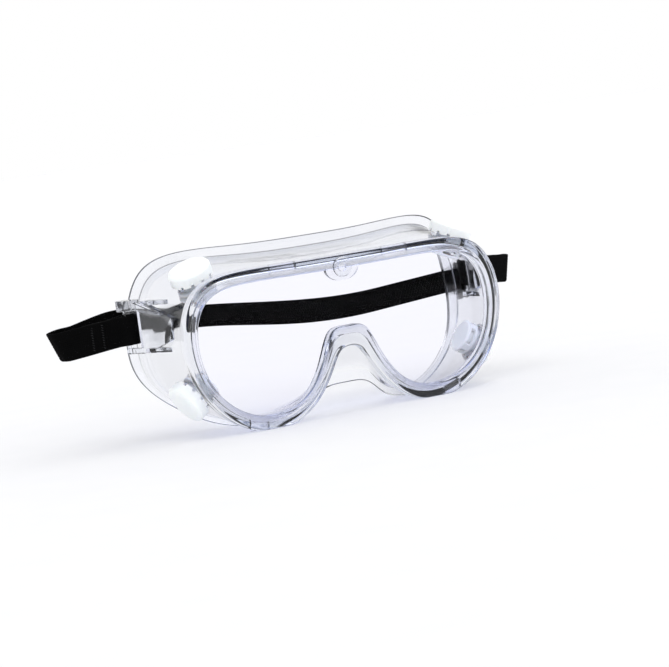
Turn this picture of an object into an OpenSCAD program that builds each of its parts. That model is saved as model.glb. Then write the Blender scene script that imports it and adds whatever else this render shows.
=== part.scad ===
// Indirect-vent splash goggles: soft clear body, one-piece lens, four white vents, elastic strap.
// +X is the wearer's left, -Y is the way the lens faces, +Z is up.
// The origin is at the bottom centre of the whole object, on the surface that it stands on.
// Depths in this file count back from the rim's front face, and in_frame() moves them to the origin.

/* [Rim and lens] */
// Depth of the rim, front to back
rim_depth = 5.6; // [5.4:0.1:5.9]
// Thickness of the lens
lens_t = 2.0; // [1.5:0.1:2.4]
// Gap between the lens and each wall of its groove
groove_gap = 0.1; // [0.05:0.05:0.3]
// Width of each upper lens tab
upper_tab_w = 12; // [8:1:16]
// Distance of each upper lens tab from the mid-plane
upper_tab_x = 27; // [20:1:34]
// Width of each lower lens tab
lower_tab_w = 8; // [5:1:10]
// Distance of each lower lens tab from the mid-plane
lower_tab_x = 47; // [46:0.5:49]

/* [Skirt and flange] */
// Thickness of the skirt wall
wall_t = 2.0; // [1.9:0.1:2.5]
// Width of the flange lip that lies on the face
flange_lip = 4.8; // [3:0.1:6]
// Thickness of the flange lip
flange_t = 1.5; // [1:0.1:2]

/* [Brow button] */
// Diameter of the button's head
button_d = 8.5; // [6:0.1:9]
// Height of the button's centre
button_z = 62; // [61:0.1:62.5]

/* [Vents] */
// Outer diameter of a vent cap
cap_d = 18.5; // [18:0.1:19]
// Height of a vent cap's skirted head
cap_h = 5.0; // [4:0.1:6]
// Bore of the vent seat
seat_bore_d = 11; // [9:0.1:11.6]
// Outer diameter of the vent seat's boss
seat_boss_d = 15; // [13.5:0.1:15.4]

/* [Strap lugs] */
// Height of the lug bar's centre
lug_z = 48; // [44:0.5:50]
// Distance of the lug bar from the mid-plane
lug_x = 84.5; // [83:0.5:86]
// Depth of the lug bar behind the rim's front face
lug_y = 37.5; // [35:0.5:39]
// Angle at which the lug leaves the side wall
lug_angle = 21; // [20:0.5:22]
// Diameter of the lug bar
lug_bar_d = 2.6; // [2.2:0.1:3]

/* [Strap] */
// Width of the webbing
strap_w = 12.5; // [11:0.5:13]
// Thickness of the webbing
strap_t = 1.4; // [1.2:0.1:1.5]
// Distance of each fold from the mid-plane
fold_x = 112.5; // [110:0.5:113]
// Depth of the folds behind the rim's front face
fold_y = 52.5; // [52.5:0.5:54]
// How far the run behind the goggles lies below the lug bars at the adjuster
back_drop = 4.3; // [3:0.1:6]
// Climb of that run towards the +X fold, in degrees
back_climb = 3.8; // [0:0.2:5]
// How far the run lies below the lug bars at the -X fold
fold_drop = 4.4; // [2:0.1:6]
// Hump of the run just inside the -X fold
back_hump = 5; // [0:0.1:6]
// Lean of the webbing from upright, its top edge towards the goggles
back_lean = 30; // [0:1:34]
// Extra lean of the stretch behind the -X side
left_lean = 9; // [0:1:12]
// Tilt of the -X fold from upright, its top edge outwards
fold_tilt = 22; // [0:1:26]
// Tilt of the +X fold from upright, its top edge outwards
right_tilt = 12; // [0:1:26]

/* [Hidden] */

clear_pvc = [0.80, 0.86, 0.92, 0.45];
clear_lens = [0.90, 0.92, 0.98, 0.30];
vent_white = [0.95, 0.95, 0.93];
webbing_black = [0.06, 0.06, 0.06];
slide_black = [0.12, 0.12, 0.13];

steps = 6;            // points in each span of an outline
groove_y = 1.9;       // front wall of the lens groove
groove_end_y = groove_y + lens_t + 2 * groove_gap;
groove_share = 0.42;  // how much of the ledge's width the groove cuts into
window_top = 61.5;    // top edge of the window
lower_tab_end = 0.6;  // height of the lower tabs' ends above the standing surface
stud_d = 3.8;         // stem of the brow button

upper_vent_at = 16;   // point of the outline at the upper vents
lower_vent_at = 31;   // point of the outline at the lower vents
vent_y = 15;          // depth of the vents' axes at the wall
boss_h = 1.0;         // height of a vent seat's boss over the wall
stem_reach = 6.4;     // how far a cap's stem reaches inside the wall
skirt_gap = 0.4;      // gap under a cap's skirt
vent_slots = 12;      // air slots in a cap's skirt

slot_h = 15.8;        // height of the lug's slot
slot_reach = 7.8;     // from the bar's centre to the slot's front end
arm_reach = 27;       // from the bar's centre to the root of the arm
arm_t = 2.6;          // thickness of the lug's arm
knob_d = 5.6;         // rounded end of the upper rail
knob_y = 1.6;         // how far the rounded end stands back from the bar
knob_l = 6;           // distance between the centres of its two round ends
brace_t = 4.4;        // thickness of the brace that runs down from it along the arm
web_t = 1.8;          // thickness of the lug's webs
web_reach = 5.2;      // how far a web reaches to the side wall

back_y = fold_y + 4;  // middle line of the run behind the goggles
fold_gap = 6.6;       // between the two layers at a fold
loop_r = 2.9;         // half the width of the loop round the bar, to the webbing's middle
loop_front = 4.8;     // how far the loop reaches in front of the bar
layer_gap = 1.85;     // between the middle lines of two layers
sewn_l = 10;          // length of the sewn layer beside the lug
settle = 3.6;         // rise of the run from the -X fold to its level stretch
settle_l = 60;        // length over which it rises
hump_x = -86;         // middle of the hump
hump_half = 34;       // half its length
cross_x = -54;        // where the run starts to drop towards the climbing stretch
cross_l = 100;        // length over which it drops
left_lean_x = -36;    // middle of the stretch that leans more
left_lean_half = 52;  // half its length
lean_fade = 8;        // length over which the lean fades out before a fold
arc_steps = 5;        // steps in each rounded corner
front_end = 1.25;     // how far the brow button stands out in front of the rim
adjuster_x = 94;      // distance of the adjuster from the mid-plane
slide_l = 12;         // length of the adjuster
slide_bar = 1.2;      // thickness of the adjuster's bars
slide_rail = 1.8;     // thickness of its rails above and below the webbing
slide_half_h = strap_w / 2 + 0.55;
slide_back = strap_t / 2 + 0.3 + slide_bar;
back_end = back_y + slide_back * cos(back_lean) + (slide_half_h + slide_rail) * sin(back_lean);

// Half outlines as control points of a cubic B-spline, from the top middle to the nose.
rim_half = [
    [0, 67.5], [26, 67.5], [49, 68], [69, 65.5], [78.5, 45], [73, 18],
    [54, 0], [32, -2.5], [17, 8], [9.5, 19.5], [5.5, 27.6], [0, 28.6]
];
window_half = [
    [0, 61.3], [25, 61.5], [46, 62], [63.5, 60], [71.5, 46], [68.5, 21],
    [51.5, 6], [33, 5], [20.5, 12], [13, 25.5], [8.5, 38], [0, 36.5]
];
// The flange's outer edge: X, height, and depth behind the rim's front face.
flange_half = [
    [0, 76, 32.5], [30, 76, 34], [56, 78, 38.5], [76, 74, 45], [83, 48, 47.5], [83, 25, 47],
    [66, 9, 38], [46, -2, 30], [24, 1, 17], [16.5, 6, 12.5], [10, 12.5, 11], [0, 12, 11]
];

function mirrored(half) = concat(half, [
    for (i = [len(half) - 2 : -1 : 1]) [for (k = [0 : len(half[i]) - 1]) k == 0 ? -half[i][0] : half[i][k]]
]);

function spline_at(a, b, c, d, s) =
    (pow(1 - s, 3) * a + (3 * pow(s, 3) - 6 * s * s + 4) * b
     + (-3 * pow(s, 3) + 3 * s * s + 3 * s + 1) * c + pow(s, 3) * d) / 6;

function closed_spline(p) = let (n = len(p)) [
    for (i = [0 : n - 1]) for (k = [0 : steps - 1])
        spline_at(p[(i + n - 1) % n], p[i], p[(i + 1) % n], p[(i + 2) % n], k / steps)
];

rim = closed_spline(mirrored(rim_half));
window = closed_spline(mirrored(window_half));
flange = closed_spline(mirrored(flange_half));

// A point of the ledge between the rim's edge (share 0) and the window's edge (share 1).
function ledge(i, share) = rim[i] + share * (window[i] - rim[i]);

// A point of the face flange, so far in from its outer edge.
function flange_in(i, inset) =
    let (edge = [flange[i][0], flange[i][1]], way = window[i] - edge)
    edge + inset * way / norm(way);

// Nothing reaches below the surface that the goggles stand on.
function place(p, y) = [p[0], y, max(p[1], 0)];

// The section of the body at one point of the outline, from the rim's front edge round to its back edge.
function section(i) =
    let (
        back = flange[i][2],
        outer_front = ledge(i, 0.16),
        outer_back = flange_in(i, flange_lip),
        inner_front = ledge(i, 0.46),
        inner_back = flange_in(i, flange_lip + wall_t)
    ) [
        place(ledge(i, 0), 1.2),
        place(ledge(i, 0.06), 0.35),
        place(ledge(i, 0.18), 0),
        place(ledge(i, 0.86), 0),
        place(ledge(i, 0.96), 0.3),
        place(ledge(i, 1), 1.0),
        place(ledge(i, 1), groove_y),
        place(ledge(i, 1 - groove_share), groove_y),
        place(ledge(i, 1 - groove_share), groove_end_y),
        place(ledge(i, 1), groove_end_y),
        place(ledge(i, 1), rim_depth),
        place(inner_front, rim_depth + 1.2),
        place((inner_front + inner_back) / 2, (rim_depth + 1.2 + back) / 2),
        place(inner_back, back),
        place(flange_in(i, 0.4), back),
        place(flange_in(i, 0), back - 0.6),
        place(flange_in(i, 0), back - flange_t),
        place(outer_back, back - flange_t),
        place((outer_front + outer_back) / 2, (rim_depth + back - flange_t) / 2),
        place(outer_front, rim_depth),
        place(ledge(i, 0), rim_depth - 0.4)
    ];

module swept_body() {
    rings = [for (i = [0 : len(rim) - 1]) section(i)];
    n = len(rings);
    m = len(rings[0]);
    polyhedron(
        points = [for (r = rings) for (p = r) p],
        faces = [
            for (i = [0 : n - 1]) for (j = [0 : m - 1])
                let (a = i * m, b = ((i + 1) % n) * m, k = (j + 1) % m)
                each [[a + j, b + k, a + k], [a + j, b + j, b + k]]
        ]
    );
}

module in_frame() {
    translate([0, (front_end - back_end) / 2, 0]) children();
}

function unit(v) = v / norm(v);

// The outer surface of the skirt at one point of the outline, at any depth.
function skirt(i, y) =
    let (
        front = place(ledge(i, 0.16), rim_depth),
        back = place(flange_in(i, flange_lip), flange[i][2] - flange_t)
    ) front + (y - rim_depth) / (back[1] - rim_depth) * (back - front);

// Children stand on the skirt on the +X side, with their own +Z straight out of the wall.
module on_skirt(i, y) {
    along = unit(skirt(i + 1, y) - skirt(i - 1, y));
    out = unit(cross(along, unit(skirt(i, y + 1) - skirt(i, y))));
    side = cross(out, along);
    o = skirt(i, y);
    multmatrix([
        [along[0], side[0], out[0], o[0]],
        [along[1], side[1], out[1], o[1]],
        [along[2], side[2], out[2], o[2]],
        [0, 0, 0, 1]
    ]) children();
}

module upper_vent() {
    on_skirt(upper_vent_at, vent_y) children();
}

module lower_vent() {
    on_skirt(lower_vent_at, vent_y) children();
}

module both_sides() {
    children();
    mirror([1, 0, 0]) children();
}

module all_vents() {
    both_sides() {
        upper_vent() children();
        lower_vent() children();
    }
}

// Children lie at the centre of the lug bar on the +X side, with +Y along the lug and outwards.
module at_lug() {
    translate([lug_x, lug_y, lug_z]) rotate([0, 0, -lug_angle]) children();
}

module extruded_side(t) {
    translate([-t / 2, 0, 0]) rotate([90, 0, 90]) linear_extrude(t) children();
}

module lug() {
    rail_top = slot_h / 2 + 3.6;
    rail_bottom = -slot_h / 2 - 2.4;
    front = -slot_reach - 2.2;
    at_lug() {
        // arm, growing taller towards the slot
        extruded_side(arm_t) polygon([
            [-arm_reach, -5], [front, rail_bottom], [-slot_reach, rail_bottom],
            [-slot_reach, rail_top], [front, rail_top], [-arm_reach, 4]
        ]);
        // upper rail and its rounded end
        translate([-arm_t / 2, -slot_reach - 1, slot_h / 2]) cube([arm_t, slot_reach + 1, 3.6]);
        for (y = [knob_y - knob_l, knob_y])
            translate([0, y, slot_h / 2]) {
                cylinder(d = knob_d, h = 3.6, $fn = 48);
                translate([0, 0, 3.6]) cylinder(d1 = knob_d, d2 = knob_d - 1.6, h = 0.8, $fn = 48);
            }
        translate([-knob_d / 2, knob_y - knob_l, slot_h / 2]) cube([knob_d, knob_l, 3.6]);
        // brace
        extruded_side(brace_t) polygon([[-6, rail_top], [-6, slot_h / 2 + 0.2], [-22, 5.4]]);
        // lower rail
        translate([-arm_t / 2, -slot_reach - 1, rail_bottom]) cube([arm_t, slot_reach + 1, 2.4]);
        translate([0, 0, rail_bottom]) cylinder(d = arm_t + 0.8, h = 2.4, $fn = 48);
        // bar
        translate([0, 0, rail_bottom + 1]) cylinder(d = lug_bar_d, h = rail_top - rail_bottom - 2, $fn = 48);
        // webs that tie the arm to the side wall
        for (z = [rail_bottom, rail_top - web_t])
            translate([0, 0, z]) linear_extrude(web_t) polygon([
                [0, -arm_reach + 3], [0, front + 1], [-web_reach, front + 1], [-1.5, -arm_reach + 3]
            ]);
    }
}

module brow_tab() {
    half_w = 7.8;
    drop = 5.2;
    translate([0, groove_y - 0.1, window_top]) rotate([90, 0, 0]) linear_extrude(groove_y - 0.1) polygon([
        for (a = [180 : 10 : 360]) [half_w * cos(a), drop * sin(a)],
        [half_w, 2], [-half_w, 2]
    ]);
}

module lens_slots() {
    slot_y = groove_end_y - groove_y;
    for (side = [-1, 1]) {
        translate([side * upper_tab_x - upper_tab_w / 2 - 0.15, groove_y, window_top + 1])
            cube([upper_tab_w + 0.3, slot_y, 10]);
        translate([side * lower_tab_x - lower_tab_w / 2 - 0.15, groove_y, -2])
            cube([lower_tab_w + 0.3, slot_y, 9]);
    }
}

module goggle_body() {
    color(clear_pvc) in_frame() difference() {
        union() {
            swept_body();
            brow_tab();
            both_sides() lug();
            all_vents() translate([0, 0, -1.9]) cylinder(d = seat_boss_d, h = 1.9 + boss_h, $fn = 64);
        }
        all_vents() translate([0, 0, -8]) cylinder(d = seat_bore_d, h = 14, $fn = 64);
        translate([0, groove_y + 0.2, button_z]) rotate([90, 0, 0])
            cylinder(d = stud_d + 0.1, h = groove_y + 2, $fn = 32);
        lens_slots();
    }
}

module lens() {
    share = 1 - groove_share + 0.02;
    lens_back = groove_y + groove_gap + lens_t;
    color(clear_lens) in_frame() translate([0, lens_back, 0]) rotate([90, 0, 0]) {
        linear_extrude(lens_t) polygon([for (i = [0 : len(rim) - 1]) ledge(i, share)]);
        for (side = [-1, 1]) {
            translate([side * upper_tab_x - upper_tab_w / 2, window_top - 1, 0])
                cube([upper_tab_w, 6.3, lens_t]);
            translate([side * lower_tab_x - lower_tab_w / 2, lower_tab_end, 0])
                cube([lower_tab_w, 8, lens_t]);
        }
    }
}

module brow_button() {
    color(clear_pvc) in_frame() translate([0, -0.05, button_z]) rotate([90, 0, 0]) {
        cylinder(d = button_d, h = 0.8, $fn = 64);
        translate([0, 0, 0.8]) cylinder(d1 = button_d, d2 = button_d - 1, h = 0.4, $fn = 64);
        translate([0, 0, -1.6]) cylinder(d = stud_d, h = 1.7, $fn = 32);
    }
}

// White mushroom cap: a slotted skirt over the boss and a hollow stem down the bore.
module vent_cap() {
    r = cap_d / 2;
    base = boss_h + 0.1;
    top = base + cap_h;
    stem_r = seat_bore_d / 2 - 0.2;
    color(vent_white) difference() {
        rotate_extrude($fn = 72) polygon([
            [0, top - 1.6], [stem_r - 1.4, top - 1.6], [stem_r - 1.4, -stem_reach], [stem_r, -stem_reach],
            [stem_r, base], [stem_r + 1.6, base], [stem_r + 1.6, top - 2.4], [r - 1.3, top - 2.4],
            [r - 1.3, skirt_gap], [r, skirt_gap], [r, top - 1.6], [r - 0.5, top - 0.7],
            [r - 1.5, top - 0.2], [r - 3, top], [0, top]
        ]);
        // air slots through the skirt, and four windows into the hollow stem
        for (a = [0 : 360 / vent_slots : 359])
            rotate([0, 0, a]) translate([stem_r + 2.2, -0.7, skirt_gap - 0.5]) cube([r, 1.4, 1.5]);
        for (a = [45 : 90 : 359])
            rotate([0, 0, a]) translate([stem_r - 2.6, -1.5, base + 0.7]) cube([5, 3, 1.6]);
    }
}

// White ring inside the wall that grips the cap's stem, with a plate on four posts over its end.
module vent_retainer() {
    hole_r = seat_bore_d / 2 - 0.05;
    plate_r = hole_r + 1.8;
    ring_z = -wall_t - 3.2;
    plate_z = ring_z - 3.4;
    color(vent_white) {
        translate([0, 0, ring_z]) rotate_extrude($fn = 72)
            translate([hole_r, 0]) square([1.8, 1.2]);
        for (a = [45 : 90 : 359])
            rotate([0, 0, a]) translate([hole_r + 0.3, -1.6, plate_z + 1]) cube([1.3, 3.2, 3]);
        rotate_extrude($fn = 72) polygon([
            [0, plate_z], [plate_r - 1, plate_z], [plate_r, plate_z + 0.5], [plate_r, plate_z + 1.2], [0, plate_z + 1.2]
        ]);
    }
}

module vent_cap_upper_left() { in_frame() upper_vent() vent_cap(); }
module vent_cap_upper_right() { in_frame() mirror([1, 0, 0]) upper_vent() vent_cap(); }
module vent_cap_lower_left() { in_frame() lower_vent() vent_cap(); }
module vent_cap_lower_right() { in_frame() mirror([1, 0, 0]) lower_vent() vent_cap(); }
module vent_retainer_upper_left() { in_frame() upper_vent() vent_retainer(); }
module vent_retainer_upper_right() { in_frame() mirror([1, 0, 0]) upper_vent() vent_retainer(); }
module vent_retainer_lower_left() { in_frame() lower_vent() vent_retainer(); }
module vent_retainer_lower_right() { in_frame() mirror([1, 0, 0]) lower_vent() vent_retainer(); }

// Points that round one corner of a route, or the corner itself when its radius is 0.
function rounded(a, b, c, r) =
    r == 0 ? [b] :
    let (
        u = unit(a - b), v = unit(c - b), half = acos(u * v) / 2,
        centre = b + unit(u + v) * r / sin(half),
        p = b + u * r / tan(half) - centre, q = b + v * r / tan(half) - centre,
        turn = 180 - 2 * half
    ) [
        for (k = [0 : arc_steps]) let (t = k / arc_steps)
            centre + (sin((1 - t) * turn) * p + sin(t * turn) * q) / sin(turn)
    ];

function xy(p) = [p[0], p[1]];

function rounded_route(route) = [
    xy(route[0]),
    for (i = [1 : len(route) - 2])
        each rounded(xy(route[i - 1]), xy(route[i]), xy(route[i + 1]), route[i][2]),
    xy(route[len(route) - 1])
];

// The webbing's plan route, seen from above: [x, y, corner radius].
lug_way = [sin(lug_angle), cos(lug_angle)];
lug_side = [cos(lug_angle), -sin(lug_angle)];
function by_lug(out, along) = [lug_x, lug_y] + out * lug_side + along * lug_way;
function with_radius(p, r) = [p[0], p[1], r];
function flipped_point(p) = [-p[0], p[1], p[2]];
function flipped(route) = [for (p = route) flipped_point(p)];
function backwards(route) = [for (i = [len(route) - 1 : -1 : 0]) route[i]];

outer_way = unit([fold_at(1) + 1, back_y - fold_gap] - by_lug(loop_r, 1.5));
outer_side = [outer_way[1], -outer_way[0]];

// From the fold in to the lug, round the bar's front, and back out again as the inner layer.
lug_loop = [
    with_radius(by_lug(loop_r, 1.5), 5),
    with_radius(by_lug(loop_r, -loop_front), loop_r - 0.05),
    with_radius(by_lug(-loop_r, -loop_front), loop_r - 0.05),
    with_radius(by_lug(-loop_r, 4.4), 3)
];
fold = [[fold_at(1) + 2.5, back_y, 2.9], [fold_at(1) + 1, back_y - fold_gap, 2.9]];
left_fold = [[fold_at(-1) + 2.5, back_y, 2.9], [fold_at(-1) + 1, back_y - fold_gap, 2.9]];
layer_start = by_lug(loop_r, 1.5) - layer_gap * outer_side + 4.5 * outer_way;
layer_end = layer_start + sewn_l * outer_way;
fold_inner_out = [
    [fold_at(1) - 0.5, back_y - fold_gap + 1.6, 1.2],
    [fold_at(1) + 0.6, back_y - layer_gap, 1.2]
];
tail_run = [
    for (x = [104 : -4 : adjuster_x - 2]) [x, back_y - layer_gap * cos(strap_lean([x, back_y])), 0]
];
back_run = [for (x = [-104 : 4 : 104]) [x, back_y, 0]];

strap_route = concat(
    [flipped_point(with_radius(layer_end, 0)), flipped_point(with_radius(layer_start, 3))],
    flipped(backwards(lug_loop)),
    flipped(backwards(left_fold)),
    back_run,
    fold,
    lug_loop,
    [with_radius(layer_start, 3)],
    fold_inner_out,
    tail_run
);

function smooth(t) = let (c = min(max(t, 0), 1)) c * c * (3 - 2 * c);

function bump(x, middle, half) = smooth(1 - abs(x - middle) / half);

// The run behind the goggles climbs in a straight line behind the +X side, where the adjuster slides.
function back_height(x) =
    let (
        climb = -back_drop + (x - adjuster_x) * tan(back_climb),
        left = -fold_drop + settle * smooth((x + fold_x) / settle_l) + back_hump * bump(x, hump_x, hump_half)
    ) lug_z + left + (climb - left) * smooth((x - cross_x) / cross_l);

// A tilted fold stands back from the mid-plane's limit by what its top edge reaches outwards.
function fold_at(x) = fold_x - strap_w / 2 * tan(x < 0 ? fold_tilt : right_tilt);

function is_behind(p) = p[1] > back_y - 3;

// Height of the webbing's middle line. A second layer in front of a leaning one lies a little lower.
function strap_height(p) =
    is_behind(p)
        ? back_height(p[0]) - (back_y - p[1]) * tan(strap_lean(p))
        : lug_z + (back_height(sign(p[0]) * fold_x) - lug_z)
            * min(max((abs(p[0]) - lug_x) / (fold_at(p[0]) - lug_x), 0), 1);

function strap_lean(p) =
    is_behind(p)
        ? (back_lean + left_lean * bump(p[0], left_lean_x, left_lean_half))
            * smooth((fold_at(p[0]) - 1 - abs(p[0])) / lean_fade)
        : 0;

// How far the webbing's top edge is pushed outwards, for each millimetre above its middle line.
function strap_tilt(p) =
    sign(p[0]) * tan(p[0] < 0 ? fold_tilt : right_tilt) * smooth((abs(p[0]) - 90) / 16);

module strap() {
    line = rounded_route(strap_route);
    n = len(line);
    w = strap_w / 2;
    t = strap_t / 2;
    rings = [
        for (i = [0 : n - 1])
            let (
                way = unit(line[min(i + 1, n - 1)] - line[max(i - 1, 0)]),
                side = [-way[1], way[0], 0],
                lean = strap_lean(line[i]) * (way[0] < 0 ? -1 : 1),
                up = [strap_tilt(line[i]), 0, cos(lean)] - sin(lean) * side,
                out = [0, 0, sin(lean)] + cos(lean) * side,
                middle = [line[i][0], line[i][1], strap_height(line[i])]
            ) [
                middle - w * up - t * out, middle + w * up - t * out,
                middle + w * up + t * out, middle - w * up + t * out
            ]
    ];
    color(webbing_black) in_frame() polyhedron(
        points = [for (r = rings) for (p = r) p],
        faces = concat(
            [[3, 2, 1, 0], [for (k = [0 : 3]) 4 * (n - 1) + k]],
            [
                for (i = [0 : n - 2]) for (j = [0 : 3])
                    let (a = 4 * i, b = 4 * (i + 1), k = (j + 1) % 4)
                    each [[a + j, a + k, b + k], [a + j, b + k, b + j]]
            ]
        )
    );
}

// Three-bar slide: two bars behind the webbing, the middle one in front, joined above and below it.
module strap_adjuster() {
    front = -layer_gap - strap_t / 2 - 0.3 - slide_bar;
    bar_h = 2 * slide_half_h + slide_rail;
    color(slide_black) in_frame()
    translate([adjuster_x, back_y, back_height(adjuster_x)])
    rotate([0, -back_climb, 0]) rotate([back_lean, 0, 0]) {
        for (z = [-slide_half_h - slide_rail, slide_half_h])
            translate([-slide_l / 2, front, z]) cube([slide_l, slide_back - front, slide_rail]);
        for (x = [-slide_l / 2, slide_l / 2 - 2.2])
            translate([x, slide_back - slide_bar, -bar_h / 2]) cube([2.2, slide_bar, bar_h]);
        translate([-1.3, front, -bar_h / 2]) cube([2.6, slide_bar, bar_h]);
    }
}

goggle_body();
lens();
brow_button();
vent_cap_upper_left();
vent_cap_upper_right();
vent_cap_lower_left();
vent_cap_lower_right();
vent_retainer_upper_left();
vent_retainer_upper_right();
vent_retainer_lower_left();
vent_retainer_lower_right();
strap();
strap_adjuster();
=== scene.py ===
import math

import bmesh
import bpy
import numpy as np
from mathutils import Matrix, Vector


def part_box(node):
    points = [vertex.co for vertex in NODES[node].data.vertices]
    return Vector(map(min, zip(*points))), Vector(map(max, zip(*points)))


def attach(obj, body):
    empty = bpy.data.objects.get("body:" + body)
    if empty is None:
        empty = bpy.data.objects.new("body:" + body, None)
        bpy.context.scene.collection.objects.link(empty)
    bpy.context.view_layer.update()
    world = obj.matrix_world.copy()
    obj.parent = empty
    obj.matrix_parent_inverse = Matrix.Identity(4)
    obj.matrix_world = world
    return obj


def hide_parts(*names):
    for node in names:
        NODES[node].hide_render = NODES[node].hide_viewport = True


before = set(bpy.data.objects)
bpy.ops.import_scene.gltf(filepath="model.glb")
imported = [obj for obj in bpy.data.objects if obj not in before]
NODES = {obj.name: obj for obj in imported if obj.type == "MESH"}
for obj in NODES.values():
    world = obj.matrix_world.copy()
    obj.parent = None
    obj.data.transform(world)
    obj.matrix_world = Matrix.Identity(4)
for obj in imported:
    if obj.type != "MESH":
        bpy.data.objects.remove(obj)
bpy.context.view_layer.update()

MM = 0.001
# Depths below are millimetres behind the rim's front face, which is the front of the CAD body.
RIM_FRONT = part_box("goggle_body")[0].y / MM

# Sizes that the CAD source also holds, in millimetres.
RIM_DEPTH, GROOVE_FRONT, GROOVE_BACK, GROOVE_SHARE = 5.6, 1.9, 4.1, 0.42
WALL, FLANGE_LIP, FLANGE_T = 2.0, 4.8, 1.5
SEAT_BORE_D, SEAT_BOSS_D, BOSS_H, VENT_Y = 11, 15, 1.0, 15
UPPER_VENT_AT, LOWER_VENT_AT, CAD_STEPS = 16, 31, 6
WINDOW_TOP, BUTTON_Z, STUD_D = 61.5, 62, 3.8
LUG, LUG_ANGLE, LUG_BAR_D = (84.5, 37.5, 48), 21, 2.6
SLOT_H, SLOT_REACH, ARM_REACH, ARM_T = 15.8, 7.8, 27, 2.6
KNOB_D, KNOB_Y, KNOB_L, BRACE_T, WEB_T, WEB_REACH = 5.6, 1.6, 6, 4.4, 1.8, 5.2
UPPER_TAB, LOWER_TAB = (27, 12), (47, 8)
STRAP_W, STRAP_T, BACK_Y, FOLD_X, FOLD_GAP = 12.5, 1.4, 56.5, 112.5, 6.6
LOOP_R, LOOP_FRONT, LAYER_GAP, SEWN_L, ADJUSTER_X = 2.9, 4.8, 1.85, 10, 94
BACK_DROP, BACK_CLIMB, FOLD_DROP, BACK_HUMP, BACK_LEAN, LEFT_LEAN = 4.3, 3.8, 4.4, 5, 30, 9
SETTLE, SETTLE_L, HUMP_X, HUMP_HALF, CROSS_X, CROSS_L = 3.6, 60, -86, 34, -54, 100
FOLD_TILT = {-1: 22, 1: 12}

RIM_HALF = [
    (0, 67.5), (26, 67.5), (49, 68), (69, 65.5), (78.5, 45), (73, 18),
    (54, 0), (32, -2.5), (17, 8), (9.5, 19.5), (5.5, 27.6), (0, 28.6),
]
WINDOW_HALF = [
    (0, 61.3), (25, 61.5), (46, 62), (63.5, 60), (71.5, 46), (68.5, 21),
    (51.5, 6), (33, 5), (20.5, 12), (13, 25.5), (8.5, 38), (0, 36.5),
]
FLANGE_HALF = [
    (0, 76, 32.5), (30, 76, 34), (56, 78, 38.5), (76, 74, 45), (83, 48, 47.5), (83, 25, 47),
    (66, 9, 38), (46, -2, 30), (24, 1, 17), (16.5, 6, 12.5), (10, 12.5, 11), (0, 12, 11),
]


# ---------------------------------------------------------------- mesh helpers

# Edges sharper than this are rounded by a bevel.
BEVEL_FROM_DEGREES = 25


def new_object(name, mesh):
    obj = bpy.data.objects.new(name, mesh)
    bpy.context.scene.collection.objects.link(obj)
    return obj


def mesh_from(name, verts, faces):
    mesh = bpy.data.meshes.new(name)
    mesh.from_pydata([tuple(map(float, v)) for v in verts], [], faces)
    mesh.update()
    return mesh


def smooth_shading(mesh, degrees):
    mesh.polygons.foreach_set("use_smooth", [True] * len(mesh.polygons))
    mesh.set_sharp_from_angle(angle=math.radians(degrees))


def to_frame(obj):
    """Takes a mesh from millimetres behind the rim's front to metres in the row frame."""
    obj.data.transform(Matrix.Translation((0, RIM_FRONT * MM, 0)) @ Matrix.Scale(MM, 4))


def boolean(obj, other, operation):
    modifier = obj.modifiers.new("join", "BOOLEAN")
    modifier.solver = "MANIFOLD"
    modifier.operation = operation
    modifier.object = other
    result = bpy.data.meshes.new_from_object(
        obj.evaluated_get(bpy.context.evaluated_depsgraph_get())
    )
    obj.modifiers.clear()
    obj.data = result
    bpy.data.objects.remove(other)


def bevelled(bm, width):
    edges = [
        e for e in bm.edges
        if len(e.link_faces) == 2 and e.calc_face_angle(0) > math.radians(BEVEL_FROM_DEGREES)
    ]
    bmesh.ops.bevel(
        bm, geom=edges, offset=width, offset_type="OFFSET", segments=3,
        profile=0.5, affect="EDGES", clamp_overlap=True,
    )


def solid(name, bm, matrix, bevel=0.0, shade=0.0):
    """An object from a bmesh in millimetres, with shade as its painted shade all over: a fixed darkening painted
    into its clear plastic.
    """
    if bevel:
        bevelled(bm, bevel)
    bmesh.ops.recalc_face_normals(bm, faces=bm.faces)
    mesh = bpy.data.meshes.new(name)
    bm.to_mesh(mesh)
    bm.free()
    # The whole piece carries the same painted shade.
    attribute = mesh.attributes.new("painted_shade", "FLOAT", "POINT")
    attribute.data.foreach_set("value", np.full(len(mesh.vertices), shade, np.float32))
    obj = new_object(name, mesh)
    obj.data.transform(matrix)
    if matrix.determinant() < 0:
        obj.data.flip_normals()
    return obj


def cuboid(low, high):
    bm = bmesh.new()
    bmesh.ops.create_cube(bm, size=1)
    for v in bm.verts:
        v.co = Vector([(low[k] + high[k]) / 2 + v.co[k] * (high[k] - low[k]) for k in range(3)])
    return bm


def prism(points, low, high, axis):
    """A polygon in the plane across axis, drawn out from low to high along it."""
    bm = bmesh.new()
    others = [k for k in range(3) if k != axis]
    rings = []
    for h in (low, high):
        ring = []
        for p in points:
            co = [0.0, 0.0, 0.0]
            co[axis], co[others[0]], co[others[1]] = h, p[0], p[1]
            ring.append(bm.verts.new(co))
        rings.append(ring)
    bm.faces.new(rings[0])
    bm.faces.new(rings[1][::-1])
    n = len(points)
    for i in range(n):
        k = (i + 1) % n
        bm.faces.new([rings[0][i], rings[1][i], rings[1][k], rings[0][k]])
    return bm


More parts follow.
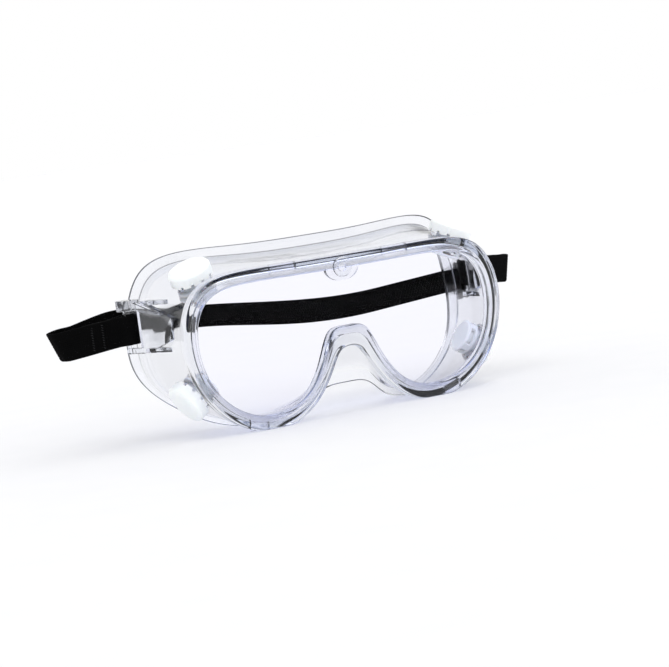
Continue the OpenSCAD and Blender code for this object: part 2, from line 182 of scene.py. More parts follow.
def turned(profile, segments=64):
    """A solid of revolution about Z from (radius, height) points that start and end on the axis."""
    bm = bmesh.new()
    rings = []
    for r, h in profile:
        if r == 0:
            rings.append([bm.verts.new((0, 0, h))])
        else:
            rings.append([
                bm.verts.new((r * math.cos(2 * math.pi * k / segments),
                              r * math.sin(2 * math.pi * k / segments), h))
                for k in range(segments)
            ])
    for a, b in zip(rings, rings[1:]):
        for k in range(segments):
            j = (k + 1) % segments
            corners = [a[k % len(a)], a[j % len(a)], b[j % len(b)], b[k % len(b)]]
            unique = list(dict.fromkeys(corners))
            if len(unique) > 2:
                bm.faces.new(unique)
    return bm


# ---------------------------------------------------------------- outlines

# Where the skirt's walls leave the rim, as shares of the way from its outline to the window's.
OUTER_WALL_SHARE, INNER_WALL_SHARE = 0.16, 0.46
# Steps in the short curve at each corner of the body's section, and in each span of the fine outlines.
CURVE_STEPS, FINE_STEPS = 4, 18


def mirrored(half):
    return half + [(-p[0],) + tuple(p[1:]) for p in half[-2:0:-1]]


def closed_spline(points, steps):
    p = np.array(points, float)
    n = len(p)
    s = (np.arange(steps) / steps)[:, None]
    spans = [
        ((1 - s) ** 3 * p[i - 1] + (3 * s ** 3 - 6 * s ** 2 + 4) * p[i]
         + (-3 * s ** 3 + 3 * s ** 2 + 3 * s + 1) * p[(i + 1) % n] + s ** 3 * p[(i + 2) % n]) / 6
        for i in range(n)
    ]
    return np.concatenate(spans)


class Outlines:
    def __init__(self, steps):
        self.rim = closed_spline(mirrored(RIM_HALF), steps)
        self.window = closed_spline(mirrored(WINDOW_HALF), steps)
        self.flange = closed_spline(mirrored(FLANGE_HALF), steps)
        self.count = len(self.rim)

    def ledge(self, i, share):
        return self.rim[i] + share * (self.window[i] - self.rim[i])

    def flange_in(self, i, inset):
        edge = self.flange[i][:2]
        way = self.window[i] - edge
        return edge + inset * way / np.linalg.norm(way)

    def skirt(self, i, y):
        front = place(self.ledge(i, OUTER_WALL_SHARE), RIM_DEPTH)
        back = place(self.flange_in(i, FLANGE_LIP), self.flange[i][2] - FLANGE_T)
        return front + (y - RIM_DEPTH) / (back[1] - RIM_DEPTH) * (back - front)

    def section(self, i):
        """Corners of the body's section with the length that is rounded away at each, in millimetres."""
        back = self.flange[i][2]
        outer_front = self.ledge(i, OUTER_WALL_SHARE)
        outer_back = self.flange_in(i, FLANGE_LIP)
        inner_front = self.ledge(i, INNER_WALL_SHARE)
        inner_back = self.flange_in(i, FLANGE_LIP + WALL)
        groove = self.ledge(i, 1 - GROOVE_SHARE)
        edge = self.ledge(i, 1)
        return [
            (place(self.ledge(i, 0), 1.2), 0.7),
            (place(self.ledge(i, 0.06), 0.35), 0.5),
            (place(self.ledge(i, 0.18), 0), 0.6),
            (place(self.ledge(i, 0.86), 0), 0.5),
            (place(self.ledge(i, 0.96), 0.3), 0.3),
            (place(edge, 1.0), 0.3),
            (place(edge, GROOVE_FRONT), 0.15),
            (place(groove, GROOVE_FRONT), 0.12),
            (place(groove, GROOVE_BACK), 0.12),
            (place(edge, GROOVE_BACK), 0.15),
            (place(edge, RIM_DEPTH), 0.5),
            (place(inner_front, RIM_DEPTH + 1.2), 1.2),
            (place((inner_front + inner_back) / 2, (RIM_DEPTH + 1.2 + back) / 2), 4),
            (place(inner_back, back), 0.7),
            (place(self.flange_in(i, 0.4), back), 0.2),
            (place(self.flange_in(i, 0), back - 0.6), 0.35),
            (place(self.flange_in(i, 0), back - FLANGE_T), 0.5),
            (place(outer_back, back - FLANGE_T), 0.5),
            (place((outer_front + outer_back) / 2, (RIM_DEPTH + back - FLANGE_T) / 2), 4),
            (place(outer_front, RIM_DEPTH), 1.4),
            (place(self.ledge(i, 0), RIM_DEPTH - 0.4), 0.6),
        ]


def place(p, y):
    return np.array([p[0], y, max(p[1], 0.0)])


def rounded_ring(corners):
    """The section's corners, each replaced with a short curve."""
    ring = []
    n = len(corners)
    for j in range(n):
        p, cut = corners[j]
        before, after = corners[j - 1][0] - p, corners[(j + 1) % n][0] - p
        la, lb = np.linalg.norm(before), np.linalg.norm(after)
        a = p + before / max(la, 1e-9) * min(cut, 0.42 * la)
        b = p + after / max(lb, 1e-9) * min(cut, 0.42 * lb)
        for k in range(CURVE_STEPS + 1):
            t = k / CURVE_STEPS
            ring.append((1 - t) ** 2 * a + 2 * t * (1 - t) * p + t ** 2 * b)
    return ring


# ---------------------------------------------------------------- the moulded body

# Corners of Outlines.section, by their place in its list.
FLANGE_BACK, FLANGE_EDGE, FLANGE_FRONT, LIP_ROOT = 14, 15, 16, 17
WALL_CORNERS = (11, 12, 18, 19)


# Painted shade, not a tint of the plastic: these values darken the clear body's colour along its edges and low on
# its walls.
def painted_shade(corner, k, height):
    """Painted shade at point k of a corner's curve: dark lines painted along the flange's edge and the lip's root,
    and a faint painted shade on the skirt's walls, darker towards the bottom.
    """
    on_edge = (corner == FLANGE_EDGE or corner == FLANGE_BACK and k >= CURVE_STEPS - 1
               or corner == FLANGE_FRONT and k <= CURVE_STEPS - 1)
    if on_edge:
        return smooth((height - 1) / 5)
    if corner == LIP_ROOT and 0 < k < CURVE_STEPS:
        return 0.85 * smooth((height - 18) / 30)
    return 0.1 * smooth((58 - height) / 25) if corner in WALL_CORNERS else 0.0


def swept_body(outlines):
    rings = [rounded_ring(outlines.section(i)) for i in range(outlines.count)]
    n, m = len(rings), len(rings[0])
    faces = [
        (i * m + j, i * m + (j + 1) % m, ((i + 1) % n) * m + (j + 1) % m, ((i + 1) % n) * m + j)
        for i in range(n) for j in range(m)
    ]
    mesh = mesh_from("goggle_body_moulded", np.concatenate(rings), faces)
    points = CURVE_STEPS + 1
    # Each point of the body carries its painted shade, which darkens the clear plastic's colour there.
    shade = [painted_shade(j // points, j % points, p[2]) for ring in rings for j, p in enumerate(ring)]
    attribute = mesh.attributes.new("painted_shade", "FLOAT", "POINT")
    attribute.data.foreach_set("value", np.array(shade, np.float32))
    return new_object("goggle_body_moulded", mesh)


def vent_matrix(outlines, i, side):
    along = unit(outlines.skirt(i + 1, VENT_Y) - outlines.skirt(i - 1, VENT_Y))
    out = unit(np.cross(along, unit(outlines.skirt(i, VENT_Y + 1) - outlines.skirt(i, VENT_Y))))
    across = np.cross(out, along)
    m = Matrix.Identity(4)
    for k, column in enumerate((along, across, out, outlines.skirt(i, VENT_Y))):
        for r in range(3):
            m[r][k] = column[r]
    return Matrix.Scale(-1, 4, (1, 0, 0)) @ m if side < 0 else m


def unit(v):
    return v / np.linalg.norm(v)


# The lug: how far it stands above and below its slot, how far forward of the slot its arm is full height,
# the tapered arm's end heights, and how far the knob stands above the lug.
LUG_ABOVE, LUG_BELOW, LUG_FRONT, ARM_LOW, ARM_HIGH, KNOB_RISE = 3.6, 2.4, 2.2, -5, 4, 0.8
# The tab at the brow: half its width, its drop, and how far it runs up into the rim.
TAB_HALF_W, TAB_DROP, TAB_ROOT = 7.8, 5.2, 2


def lug_pieces(side):
    m = Matrix.Translation(LUG) @ Matrix.Rotation(math.radians(-LUG_ANGLE), 4, "Z")
    if side < 0:
        m = Matrix.Scale(-1, 4, (1, 0, 0)) @ m
    top, bottom = SLOT_H / 2 + LUG_ABOVE, -SLOT_H / 2 - LUG_BELOW
    front = -SLOT_REACH - LUG_FRONT
    half = ARM_T / 2
    knob = [(KNOB_D / 2 * math.cos(a), KNOB_Y - KNOB_L * (a > math.pi) + KNOB_D / 2 * math.sin(a))
            for a in np.linspace(0.001, 2 * math.pi - 0.001, 41)]
    arm = prism([(-ARM_REACH, ARM_LOW), (front, bottom), (-SLOT_REACH, bottom), (-SLOT_REACH, top),
                 (front, top), (-ARM_REACH, ARM_HIGH)], -half, half, 0)
    # The arm, knob and brace get painted shade: their clear plastic is darkened by a fixed amount, most on the knob.
    pieces = [
        solid("arm", arm, m, 0.5, shade=0.1),
        solid("rail", cuboid((-half, -SLOT_REACH - 1, SLOT_H / 2), (half, 0, top)), m, 0.4),
        solid("knob", prism(knob, SLOT_H / 2, top + KNOB_RISE, 2), m, 1.6, shade=0.45),
        solid("brace", prism([(-6, top), (-6, SLOT_H / 2 + 0.2), (-22, 5.4)], -BRACE_T / 2, BRACE_T / 2, 0),
              m, 0.5, shade=0.12),
        solid("foot", cuboid((-half, -SLOT_REACH - 1, bottom), (half, 0, -SLOT_H / 2)), m, 0.4),
        solid("foot_end", turned([(0, bottom), (half, bottom), (half + 0.4, bottom + 0.4),
                                  (half + 0.4, -SLOT_H / 2 - 0.4), (half, -SLOT_H / 2), (0, -SLOT_H / 2)], 40), m),
        solid("bar", turned([(0, bottom + 1), (LUG_BAR_D / 2, bottom + 1), (LUG_BAR_D / 2, top - 1), (0, top - 1)],
                            32), m),
    ]
    for z in (bottom, top - WEB_T):
        web = prism([(0, -ARM_REACH + 3), (0, front + 1), (-WEB_REACH, front + 1), (-1.5, -ARM_REACH + 3)],
                    z, z + WEB_T, 2)
        pieces.append(solid("web", web, m, 0.35))
    return pieces


def brow_tab():
    points = [(TAB_HALF_W * math.cos(math.radians(a)), WINDOW_TOP + TAB_DROP * math.sin(math.radians(a)))
              for a in range(180, 361, 6)]
    points += [(TAB_HALF_W, WINDOW_TOP + TAB_ROOT), (-TAB_HALF_W, WINDOW_TOP + TAB_ROOT)]
    return solid("tab", prism(points, 0.0, GROOVE_FRONT - 0.1, 1), Matrix.Identity(4), 0.35)


# Clearances round the lens's tabs and the button's stud, and the vent boss's root depth and chamfer.
TAB_CLEAR, STUD_CLEAR, BOSS_ROOT, BOSS_CHAMFER = 0.15, 0.1, 1.9, 0.3


def moulded_body():
    body = swept_body(Outlines(FINE_STEPS))
    coarse = Outlines(CAD_STEPS)
    additions = [brow_tab()] + lug_pieces(1) + lug_pieces(-1)
    cuts = []
    for side in (1, -1):
        for at in (UPPER_VENT_AT, LOWER_VENT_AT):
            m = vent_matrix(coarse, at, side)
            r = SEAT_BOSS_D / 2
            boss = turned([(0, -BOSS_ROOT), (r, -BOSS_ROOT), (r, BOSS_H - BOSS_CHAMFER),
                           (r - BOSS_CHAMFER, BOSS_H), (0, BOSS_H)])
            additions.append(solid("boss", boss, m))
            r = SEAT_BORE_D / 2
            cuts.append(solid("bore", turned([(0, -8), (r, -8), (r, 6), (0, 6)]), m))
        for (x, w), low, high in ((UPPER_TAB, WINDOW_TOP + 1, WINDOW_TOP + 11), (LOWER_TAB, -2, 7)):
            half = w / 2 + TAB_CLEAR
            slot = cuboid((side * x - half, GROOVE_FRONT, low), (side * x + half, GROOVE_BACK, high))
            cuts.append(solid("slot", slot, Matrix.Identity(4)))
    r = (STUD_D + STUD_CLEAR) / 2
    stud = turned([(0, 0), (r, 0), (r, 2 * GROOVE_FRONT), (0, 2 * GROOVE_FRONT)], 32)
    cuts.append(solid("stud", stud, Matrix.Translation((0, GROOVE_FRONT + 0.2, BUTTON_Z))
                      @ Matrix.Rotation(math.radians(90), 4, "X")))
    for piece in additions:
        boolean(body, piece, "UNION")
    for piece in cuts:
        boolean(body, piece, "DIFFERENCE")
    to_frame(body)
    smooth_shading(body.data, 38)
    return body


# ---------------------------------------------------------------- the strap

def smooth(t):
    c = min(max(t, 0.0), 1.0)
    return c * c * (3 - 2 * c)


def bump_at(x, middle, half):
    return smooth(1 - abs(x - middle) / half)


def tan_degrees(a):
    return math.tan(math.radians(a))


def fold_at(x):
    return FOLD_X - STRAP_W / 2 * tan_degrees(FOLD_TILT[-1 if x < 0 else 1])


def back_height(x):
    climb = -BACK_DROP + (x - ADJUSTER_X) * tan_degrees(BACK_CLIMB)
    left = -FOLD_DROP + SETTLE * smooth((x + FOLD_X) / SETTLE_L) + BACK_HUMP * bump_at(x, HUMP_X, HUMP_HALF)
    return LUG[2] + left + (climb - left) * smooth((x - CROSS_X) / CROSS_L)


# Webbing this near to the level back run, in depth, belongs to it.
BACK_REACH = 3
# Half the level back run, and the spacing of its points.
BACK_HALF, BACK_STEP = 104, 2
# The run's extra lean on the -X side, where it is greatest and half its spread.
LEFT_LEAN_X, LEFT_LEAN_HALF = -36, 52
# Where the folds' tilt fades in, and over what length.
TILT_X, TILT_L = 90, 16
FOLD_R, TURN_STEPS = 2.9, 12
# How far a fold's two corners stand out past fold_at, at the back and in front.
FOLD_OUT_BACK, FOLD_OUT_FRONT = 2.5, 1
# The loop's outer and inner ends: their place along the lug's way and their bends' radii.
OUTER_END, OUTER_R, INNER_END, INNER_R = 1.5, 5, 4.4, 3
# The second layer: where it starts past the loop, its bend's radius there and at the fold, and how far its free end
# goes past the adjuster.
LAYER_START, LAYER_R, LAYER_TURN_R, TAIL_PAST = 4.5, 3, 1.2, 3


def strap_lean(x, y):
    if y <= BACK_Y - BACK_REACH:
        return 0.0
    lean = BACK_LEAN + LEFT_LEAN * bump_at(x, LEFT_LEAN_X, LEFT_LEAN_HALF)
    return math.radians(lean * smooth((fold_at(x) - 1 - abs(x)) / 8))


def strap_height(x, y):
    if y > BACK_Y - BACK_REACH:
        return back_height(x) - (BACK_Y - y) * math.tan(strap_lean(x, y))
    side = -1 if x < 0 else 1
    share = min(max((abs(x) - LUG[0]) / (fold_at(x) - LUG[0]), 0), 1)
    return LUG[2] + (back_height(side * FOLD_X) - LUG[2]) * share


def bend(a, b, c, r):
    """The arc of radius r that rounds the route's corner b between a and c."""
    if r == 0:
        return [b]
    u, v = unit(a - b), unit(c - b)
    half = math.acos(float(u @ v)) / 2
    centre = b + unit(u + v) * r / math.sin(half)
    p, q = b + u * r / math.tan(half) - centre, b + v * r / math.tan(half) - centre
    turn = math.pi - 2 * half
    return [
        centre + (math.sin((1 - t) * turn) * p + math.sin(t * turn) * q) / math.sin(turn)
        for t in (k / TURN_STEPS for k in range(TURN_STEPS + 1))
    ]


def strap_route():
    """The webbing's middle line seen from above, as in the CAD source, from the sewn end to the free end."""
    angle = math.radians(LUG_ANGLE)
    way, side = np.array([math.sin(angle), math.cos(angle)]), np.array([math.cos(angle), -math.sin(angle)])

    def by_lug(out, along):
        return np.array(LUG[:2]) + out * side + along * way

    def fold(x):
        return [(np.array([fold_at(x) + FOLD_OUT_BACK, BACK_Y]), FOLD_R),
                (np.array([fold_at(x) + FOLD_OUT_FRONT, BACK_Y - FOLD_GAP]), FOLD_R)]

    def flipped(route):
        return [(p * [-1, 1], r) for p, r in route]

    outer_way = unit(np.array([fold_at(1) + FOLD_OUT_FRONT, BACK_Y - FOLD_GAP]) - by_lug(LOOP_R, OUTER_END))
    outer_side = np.array([outer_way[1], -outer_way[0]])
    front_r = LOOP_R - 0.05
    loop = [(by_lug(LOOP_R, OUTER_END), OUTER_R), (by_lug(LOOP_R, -LOOP_FRONT), front_r),
            (by_lug(-LOOP_R, -LOOP_FRONT), front_r), (by_lug(-LOOP_R, INNER_END), INNER_R)]
    layer_start = by_lug(LOOP_R, OUTER_END) - LAYER_GAP * outer_side + LAYER_START * outer_way
    layer_end = layer_start + SEWN_L * outer_way
    inner = [(np.array([fold_at(1) - 0.5, BACK_Y - FOLD_GAP + 1.6]), LAYER_TURN_R),
             (np.array([fold_at(1) + 0.6, BACK_Y - LAYER_GAP]), LAYER_TURN_R)]
    tail = [(np.array([x, BACK_Y - LAYER_GAP * math.cos(strap_lean(x, BACK_Y))]), 0)
            for x in range(BACK_HALF, ADJUSTER_X - TAIL_PAST, -BACK_STEP)]
    route = (flipped([(layer_end, 0), (layer_start, LAYER_R)]) + flipped(loop[::-1]) + flipped(fold(-1)[::-1])
             + [(np.array([x, BACK_Y]), 0) for x in range(-BACK_HALF, BACK_HALF + 1, BACK_STEP)]
             + fold(1) + loop + [(layer_start, LAYER_R)] + inner + tail)
    line = [route[0][0]]
    for k in range(1, len(route) - 1):
        line += bend(route[k - 1][0], route[k][0], route[k + 1][0], route[k][1])
    line.append(route[-1][0])
    return np.array(line), outer_way, outer_side, layer_start


def resampled(line, step):
    keep = np.concatenate([[True], np.linalg.norm(np.diff(line, axis=0), axis=1) > 1e-6])
    line = line[keep]
    along = np.concatenate([[0], np.cumsum(np.linalg.norm(np.diff(line, axis=0), axis=1))])
    at = np.linspace(0, along[-1], int(along[-1] / step) + 1)
    return np.stack([np.interp(at, along, line[:, k]) for k in range(2)], axis=1), at


# The webbing: its ribs, their depth, its plain edge, the length of a pick, and the spacing of its cross sections.
RIBS, RIB_DEPTH, EDGE_W, PICK_L, RING_STEP = 9, 0.09, 0.45, 0.85, 0.9


def webbing_section():
    """Across and through positions of the webbing's outline: ribbed faces and rounded edges."""
    half_w, half_t = STRAP_W / 2, STRAP_T / 2
    reach = half_w - EDGE_W
    across = np.linspace(-reach, reach, RIBS * 4 + 1)
    face = half_t - RIB_DEPTH * (1 - np.abs(np.sin(np.pi * RIBS * (across + reach) / (2 * reach))))
    edge = [(half_w - 0.13, 0.42), (half_w, 0.0), (half_w - 0.13, -0.42)]
    outline = list(zip(across, face)) + edge
    return outline + [(-a, -t) for a, t in outline]


def woven_strap():
    route, outer_way, outer_side, layer_start = strap_route()
    line, along = resampled(route, RING_STEP)
    section = webbing_section()
    rings = []
    n, m = len(line), len(section)
    for i in range(n):
        x, y = line[i]
        way = unit(line[min(i + 1, n - 1)] - line[max(i - 1, 0)])
        side = np.array([-way[1], way[0], 0])
        lean = strap_lean(x, y) * (-1 if way[0] < 0 else 1)
        fold_tilt = math.copysign(1, x) * tan_degrees(FOLD_TILT[-1 if x < 0 else 1])
        tilt = fold_tilt * smooth((abs(x) - TILT_X) / TILT_L)
        up = np.array([tilt, 0, math.cos(lean)]) - math.sin(lean) * side
        out = np.array([0, 0, math.sin(lean)]) + math.cos(lean) * side
        middle = np.array([x, y, strap_height(x, y)])
        rings.append([middle + a * up + t * out for a, t in section])
    verts = np.concatenate(rings)
    faces = [
        (i * m + j, (i + 1) * m + j, (i + 1) * m + (j + 1) % m, i * m + (j + 1) % m)
        for i in range(n - 1) for j in range(m)
    ]
    faces += [tuple(range(m)), tuple(range(n * m - 1, (n - 1) * m - 1, -1))]
    mesh = mesh_from("strap_webbing", verts, faces)
    weave = mesh.uv_layers.new(name="weave")
    spot = np.empty(len(mesh.loops), np.int64)
    mesh.loops.foreach_get("vertex_index", spot)
    across = np.array([a for a, _ in section])
    weave.data.foreach_set("uv", np.stack([across[spot % m], along[spot // m]], axis=1).astype(np.float32).ravel())
    obj = new_object("strap_webbing", mesh)
    to_frame(obj)
    smooth_shading(mesh, 50)
    return obj, (outer_way, outer_side, layer_start)


# The rows' places along the sewn layer, then a row's stitches: how many, their spacing, and their length and radius.
SEWN_ROWS = (3.0, 7.5)
STITCHES, STITCH_GAP, STITCH_L, STITCH_R = 10, 1.05, 1.0, 0.17


def stitch_row(bm, centre, lie):
    """An upright row of short raised stitches, each a tapered bead lying along `lie`."""
    for k in range(STITCHES):
        middle = centre + np.array([0, 0, STITCH_GAP]) * (k - (STITCHES - 1) / 2)
        across = unit(np.cross(lie, [0.3, 0.5, 0.8]))
        third = np.cross(lie, across)
        rings = []
        for t, r in ((-0.5, 0.35), (-0.36, 0.9), (0, 1.0), (0.36, 0.9), (0.5, 0.35)):
            rings.append([
                bm.verts.new(middle + lie * t * STITCH_L
                             + (across * math.cos(a) + third * math.sin(a)) * r * STITCH_R)
                for a in np.arange(6) * math.pi / 3
            ])
        bm.faces.new(rings[0][::-1])
        bm.faces.new(rings[-1])
        for a, b in zip(rings, rings[1:]):
            for j in range(6):
                bm.faces.new([a[j], a[(j + 1) % 6], b[(j + 1) % 6], b[j]])


def strap_stitches(sewn):
    """Bar tacks through the doubled webbing beside each lug."""
    outer_way, outer_side, layer_start = sewn
    bm = bmesh.new()
    for side in (1, -1):
        for reach in SEWN_ROWS:
            at = layer_start + outer_way * reach
            x = at[0] * side
            for face, gap in ((1, LAYER_GAP + STRAP_T / 2), (-1, -STRAP_T / 2)):
                spot = at + outer_side * gap
                z = strap_height(x, at[1])
                centre = np.array([spot[0] * side, spot[1], z])
                lie = unit(np.array([outer_way[0] * side, outer_way[1], 0.0]) + np.array([0, 0, 0.5]))
                stitch_row(bm, centre, lie)
    bmesh.ops.recalc_face_normals(bm, faces=bm.faces)
    mesh = bpy.data.meshes.new("strap_stitches")
    bm.to_mesh(mesh)
    bm.free()
    obj = new_object("strap_stitches", mesh)
    to_frame(obj)
    smooth_shading(mesh, 60)
    return obj


# ---------------------------------------------------------------- materials

class Nodes:
    """A node tree with short calls for what the materials here need."""

    def __init__(self, name):
        self.material = bpy.data.materials.new(name)
        self.material.use_nodes = True
        self.tree = self.material.node_tree
        self.tree.nodes.clear()
        self.out = self.add("ShaderNodeOutputMaterial")

    def add(self, kind, **values):
        node = self.tree.nodes.new(kind)
        for key, value in values.items():
            setattr(node, key, value)
        return node

    def put(self, node, **values):
        for key, value in values.items():
            socket = node.inputs[key.replace("_", " ")]
            if isinstance(value, bpy.types.NodeSocket):
                self.tree.links.new(value, socket)
            else:
                socket.default_value = value
        return node

    def link(self, a, b):
        self.tree.links.new(a, b)

    def math(self, operation, a, b=0.0):
        node = self.add("ShaderNodeMath", operation=operation)
        for k, value in enumerate((a, b)):
            if isinstance(value, bpy.types.NodeSocket):
                self.link(value, node.inputs[k])
            else:
                node.inputs[k].default_value = value
        return node.outputs[0]

    def spread(self, source, low, high):
        return self.put(self.add("ShaderNodeMapRange"), Value=source, To_Min=low, To_Max=high).outputs[0]

    def noise(self, scale, detail, rough):
        coordinates = self.add("ShaderNodeTexCoord").outputs["Object"]
        node = self.put(self.add("ShaderNodeTexNoise"), Vector=coordinates, Scale=scale,
                        Detail=detail, Roughness=rough)
        return node.outputs["Fac"]

    def bump(self, height, distance, strength):
        node = self.put(self.add("ShaderNodeBump"), Height=height, Distance=distance, Strength=strength)
        return node.outputs[0]


def clear_plastic(name, tint, density, absorb, rough, wave, wave_scale, ior, shadow, edge=None):
    """Clear plastic that bends light, thickens in colour with depth and lets lamplight through to the floor.

    Where edge is given, the mesh's painted shade takes the surface from tint towards that dark colour, painting dark
    lines and shade into the clear plastic.
    """
    n = Nodes(name)
    colour = tint
    if edge:
        # Painted shade: the attribute mixes the surface's colour towards the dark edge colour.
        blend = n.add("ShaderNodeMix", data_type="RGBA")
        n.link(n.add("ShaderNodeAttribute", attribute_name="painted_shade").outputs["Fac"], blend.inputs[0])
        blend.inputs[6].default_value, blend.inputs[7].default_value = tint, edge
        colour = blend.outputs[2]
    smudge = n.noise(90, 4, 0.6)
    height = n.noise(wave_scale, 2, 0.5)
    shader = n.put(n.add("ShaderNodeBsdfPrincipled"), Base_Color=colour, IOR=ior, Transmission_Weight=1.0,
                   Roughness=n.spread(smudge, *rough), Normal=n.bump(height, wave, 0.6))
    through = n.put(n.add("ShaderNodeBsdfTransparent"), Color=shadow)
    lamp = n.add("ShaderNodeLightPath").outputs["Is Shadow Ray"]
    mix = n.add("ShaderNodeMixShader")
    n.link(lamp, mix.inputs[0])
    n.link(shader.outputs[0], mix.inputs[1])
    n.link(through.outputs[0], mix.inputs[2])
    n.link(mix.outputs[0], n.out.inputs["Surface"])
    volume = n.put(n.add("ShaderNodeVolumeAbsorption"), Color=absorb, Density=density)
    n.link(volume.outputs[0], n.out.inputs["Volume"])
    return n.material


def moulded_plastic(name, dark, light, rough, grain, subsurface=0.0):
    """Satin moulded plastic with a fine grain and slight mottling."""
    n = Nodes(name)
    mottle = n.noise(160, 4, 0.6)
    fine = n.noise(2600, 3, 0.6)
    ramp = n.add("ShaderNodeValToRGB")
    n.put(ramp, Fac=mottle)
    ramp.color_ramp.elements[0].position, ramp.color_ramp.elements[1].position = 0.3, 0.75
    ramp.color_ramp.elements[0].color, ramp.color_ramp.elements[1].color = dark, light
    shader = n.put(n.add("ShaderNodeBsdfPrincipled"), Base_Color=ramp.outputs[0], Roughness=n.spread(fine, *rough),
                   Normal=n.bump(fine, grain, 0.5), Subsurface_Weight=subsurface)
    n.link(shader.outputs[0], n.out.inputs["Surface"])
    return n.material


def woven_elastic(name):
    """Black knitted elastic: ribs along it, crossed by short raised picks that step sideways from rib to rib."""
    n = Nodes(name)
    spot = n.add("ShaderNodeSeparateXYZ")
    n.link(n.put(n.add("ShaderNodeUVMap", uv_map="weave")).outputs[0], spot.inputs[0])
    across, along = spot.outputs[0], spot.outputs[1]
    rib = n.math("FLOOR", n.math("DIVIDE", n.math("ADD", across, STRAP_W / 2), (STRAP_W - 2 * EDGE_W) / RIBS))
    shifted = n.math("ADD", n.math("DIVIDE", along, PICK_L), n.math("MULTIPLY", rib, 0.5))
    pick = n.math("ABSOLUTE", n.math("SINE", n.math("MULTIPLY", shifted, math.pi)))
    fibre = n.noise(2400, 3, 0.6)
    height = n.math("ADD", pick, n.math("MULTIPLY", fibre, 0.35))
    ramp = n.add("ShaderNodeValToRGB")
    n.put(ramp, Fac=n.math("ADD", n.math("MULTIPLY", pick, 0.6), n.math("MULTIPLY", n.noise(220, 3, 0.6), 0.5)))
    ramp.color_ramp.elements[0].position, ramp.color_ramp.elements[1].position = 0.1, 0.95
    ramp.color_ramp.elements[0].color = (0.0008, 0.0008, 0.0008, 1)
    ramp.color_ramp.elements[1].color = (0.0024, 0.0024, 0.0025, 1)
    shader = n.put(n.add("ShaderNodeBsdfPrincipled"), Base_Color=ramp.outputs[0],
                   Roughness=n.spread(fibre, 0.72, 0.95), Normal=n.bump(height, 0.00012, 0.9),
                   Specular_IOR_Level=0.04)
    n.link(shader.outputs[0], n.out.inputs["Surface"])
    return n.material


# edge is the dark colour of the painted shade on the body's edges, lower skirt walls and lug.
PVC = clear_plastic(
    "clear_pvc", tint=(0.94, 0.945, 0.96, 1), edge=(0.04, 0.042, 0.05, 1), density=28, absorb=(0.56, 0.62, 0.76, 1),
    rough=(0.03, 0.10), wave=0.00025, wave_scale=45, ior=1.5, shadow=(0.91, 0.912, 0.95, 1),
)
# The lens's index is set far below polycarbonate's 1.58, which keeps its reflections faint.
LENS = clear_plastic(
    "clear_lens", tint=(0.955, 0.955, 1.0, 1), density=12, absorb=(0.72, 0.72, 0.98, 1),
    rough=(0.0, 0.02), wave=0.00002, wave_scale=12, ior=1.08, shadow=(0.97, 0.97, 0.985, 1),
)
WEBBING = woven_elastic("webbing_black")
THREAD = moulded_plastic("thread_black", (0.001, 0.001, 0.001, 1), (0.004, 0.004, 0.004, 1), (0.6, 0.8), 0.00003)
WHITE = moulded_plastic("vent_white", (0.95, 0.955, 0.95, 1), (0.985, 0.985, 0.98, 1), (0.3, 0.42), 0.00003,
                        subsurface=0.1)
SLIDE = moulded_plastic("slide_black", (0.012, 0.012, 0.013, 1), (0.022, 0.022, 0.024, 1), (0.28, 0.42), 0.00004)


def dress(node, material, bevel=0.0):
    """Gives a CAD node its material and, with bevel in millimetres, rounds its edges."""
    obj = NODES[node]
    obj.data.materials.clear()
    obj.data.materials.append(material)
    smooth_shading(obj.data, 30)
    if bevel:
        modifier = obj.modifiers.new("edges", "BEVEL")
        modifier.width = bevel * MM
        modifier.segments = 2
        modifier.limit_method = "ANGLE"
        modifier.angle_limit = math.radians(40)


body = moulded_body()
body.data.materials.clear()
body.data.materials.append(PVC)
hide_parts("goggle_body")
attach(body, "goggles")
dress("lens", LENS)
dress("brow_button", PVC, 0.25)
for kind in ("cap", "retainer"):
    for row in ("upper", "lower"):
        for hand in ("left", "right"):
            dress(f"vent_{kind}_{row}_{hand}", WHITE, 0.25)
dress("strap_adjuster", SLIDE, 0.3)
strap, sewn = woven_strap()
strap.data.materials.append(WEBBING)
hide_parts("strap")
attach(strap, "strap")
stitches = strap_stitches(sewn)
stitches.data.materials.append(THREAD)
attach(stitches, "strap")

# ---------------------------------------------------------------- camera, light and floor

# The focal length and the image's width in pixels, and the sensor's width in millimetres.
FOCAL_PX, IMAGE_W, SENSOR = 2400, 669, 36
AZIMUTH, ELEVATION, ROLL = (math.radians(a) for a in (-27.74, 5.45, -7.56))
# Millimetres: how far back, across and up the camera stands from its aim point, AIM_Z up at the rim's front.
DISTANCE, ACROSS, ALOFT, AIM_Z = 1013.62, -6.74, 1.36, 33

back = Vector((math.sin(AZIMUTH) * math.cos(ELEVATION), -math.cos(AZIMUTH) * math.cos(ELEVATION),
               math.sin(ELEVATION)))
right = (-back).cross(Vector((0, 0, 1))).normalized()
up = right.cross(-back)
place_mm = back * DISTANCE + right * ACROSS + up * ALOFT + Vector((0, RIM_FRONT, AIM_Z))
x_axis = math.cos(ROLL) * right + math.sin(ROLL) * up
y_axis = -math.sin(ROLL) * right + math.cos(ROLL) * up
camera_data = bpy.data.cameras.new("camera")
camera_data.sensor_width = SENSOR
camera_data.lens = FOCAL_PX * SENSOR / IMAGE_W
camera_data.clip_start, camera_data.clip_end = 0.01, 50
camera = new_object("camera", camera_data)
camera.matrix_world = Matrix.Translation(place_mm * MM) @ Matrix((x_axis, y_axis, back)).transposed().to_4x4()
bpy.context.scene.camera = camera

scene = bpy.context.scene
scene.view_settings.view_transform = "Standard"
scene.cycles.max_bounces = 24
scene.cycles.transmission_bounces = 20
scene.cycles.transparent_max_bounces = 24

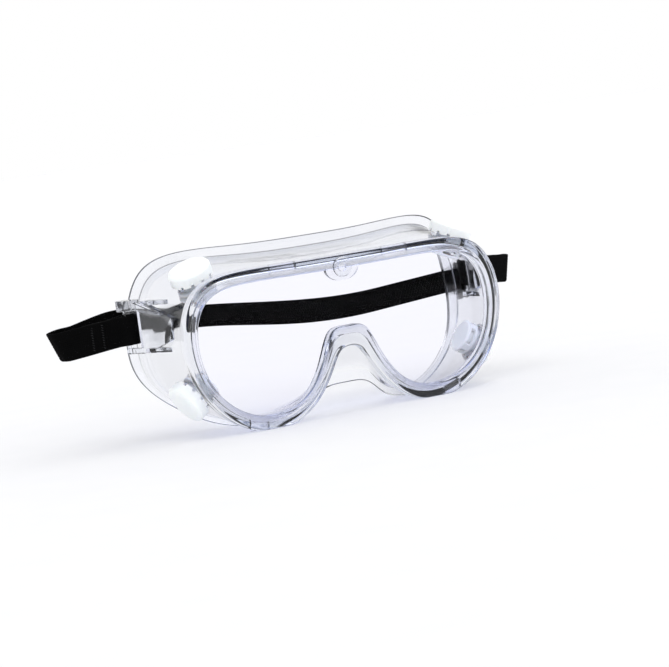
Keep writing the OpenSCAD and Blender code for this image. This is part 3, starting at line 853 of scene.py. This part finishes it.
floor_material = Nodes("floor")
speck = floor_material.noise(40, 3, 0.5)
floor_tone = floor_material.add("ShaderNodeValToRGB")
floor_material.put(floor_tone, Fac=speck)
floor_tone.color_ramp.elements[0].color = (0.86, 0.865, 0.885, 1)
floor_tone.color_ramp.elements[1].color = (0.89, 0.89, 0.905, 1)
floor_shader = floor_material.put(floor_material.add("ShaderNodeBsdfPrincipled"), Base_Color=floor_tone.outputs[0],
                                  Roughness=0.9, Specular_IOR_Level=0.0)
floor_material.link(floor_shader.outputs[0], floor_material.out.inputs["Surface"])
# Metres: the floor lies just under the goggles so that the two surfaces don't coincide.
FLOOR_Z, FLOOR_HALF = -0.00005, 8
floor_corners = [(x * FLOOR_HALF, y * FLOOR_HALF, FLOOR_Z) for x, y in ((-1, -1), (1, -1), (1, 1), (-1, 1))]
floor = new_object("floor", mesh_from("floor", floor_corners, [(0, 1, 2, 3)]))
floor.data.materials.append(floor_material.material)

BACKDROP, EDGE_BAND, SKY_BLUE = (1.0,) * 3, (0.26, 0.31, 0.43), (0.42, 0.52, 1.0)
ROOM, OVERHEAD, HORIZON, ZENITH = (0.15, 0.20, 0.45), (0.9,) * 3, (1.45,) * 3, (0.3,) * 3


def studio_world():
    """White all round to look at and through, dark bands above for clear edges to bend, and a dim room to mirror."""
    world = bpy.data.worlds.new("studio")
    world.use_nodes = True
    tree = world.node_tree
    tree.nodes.clear()

    def add(kind, **values):
        node = tree.nodes.new(kind)
        for key, value in values.items():
            setattr(node, key, value)
        return node

    def ramp(stops):
        node = add("ShaderNodeValToRGB")
        while len(node.color_ramp.elements) < len(stops):
            node.color_ramp.elements.new(0.5)
        for element, (position, colour) in zip(node.color_ramp.elements, stops):
            element.position = position
            element.color = (*colour, 1)
        tree.links.new(height.outputs[0], node.inputs[0])
        return node.outputs[0]

    def choose(factor, a, b):
        node = add("ShaderNodeMix", data_type="RGBA")
        tree.links.new(factor, node.inputs[0])
        tree.links.new(a, node.inputs[6])
        tree.links.new(b, node.inputs[7])
        return node.outputs[2]

    direction = add("ShaderNodeSeparateXYZ")
    tree.links.new(add("ShaderNodeTexCoord").outputs["Generated"], direction.inputs[0])
    height = add("ShaderNodeMapRange")
    tree.links.new(direction.outputs[2], height.inputs[0])
    height.inputs[1].default_value, height.inputs[2].default_value = -1, 1
    white = ramp([(0, BACKDROP), (1, BACKDROP)])
    seen_through = ramp([(0, BACKDROP), (0.64, BACKDROP), (0.72, EDGE_BAND), (0.82, EDGE_BAND),
                         (0.90, SKY_BLUE), (0.97, BACKDROP)])
    in_front = ramp([(0.5, ROOM), (0.8, ROOM), (0.95, OVERHEAD)])
    behind = add("ShaderNodeMapRange")
    tree.links.new(direction.outputs[1], behind.inputs[0])
    behind.inputs[1].default_value, behind.inputs[2].default_value = -0.1, 0.4
    mirrored_room = choose(behind.outputs[0], in_front, white)
    fill = ramp([(0.5, HORIZON), (1, ZENITH)])
    path = add("ShaderNodeLightPath")
    colour = choose(path.outputs["Is Reflection Ray"], fill, mirrored_room)
    colour = choose(path.outputs["Is Diffuse Ray"], colour, fill)
    colour = choose(path.outputs["Is Transmission Ray"], colour, seen_through)
    colour = choose(path.outputs["Is Camera Ray"], colour, white)
    background = add("ShaderNodeBackground")
    tree.links.new(colour, background.inputs[0])
    out = add("ShaderNodeOutputWorld")
    tree.links.new(background.outputs[0], out.inputs[0])
    return world


scene.world = studio_world()

SUN_FROM = Vector((0.2, -0.35, 0.9))
sun_data = bpy.data.lights.new("soft_key", "SUN")
sun_data.energy = 1.6
sun_data.angle = math.radians(100)
sun = new_object("soft_key", sun_data)
sun.rotation_euler = SUN_FROM.to_track_quat("Z", "Y").to_euler()
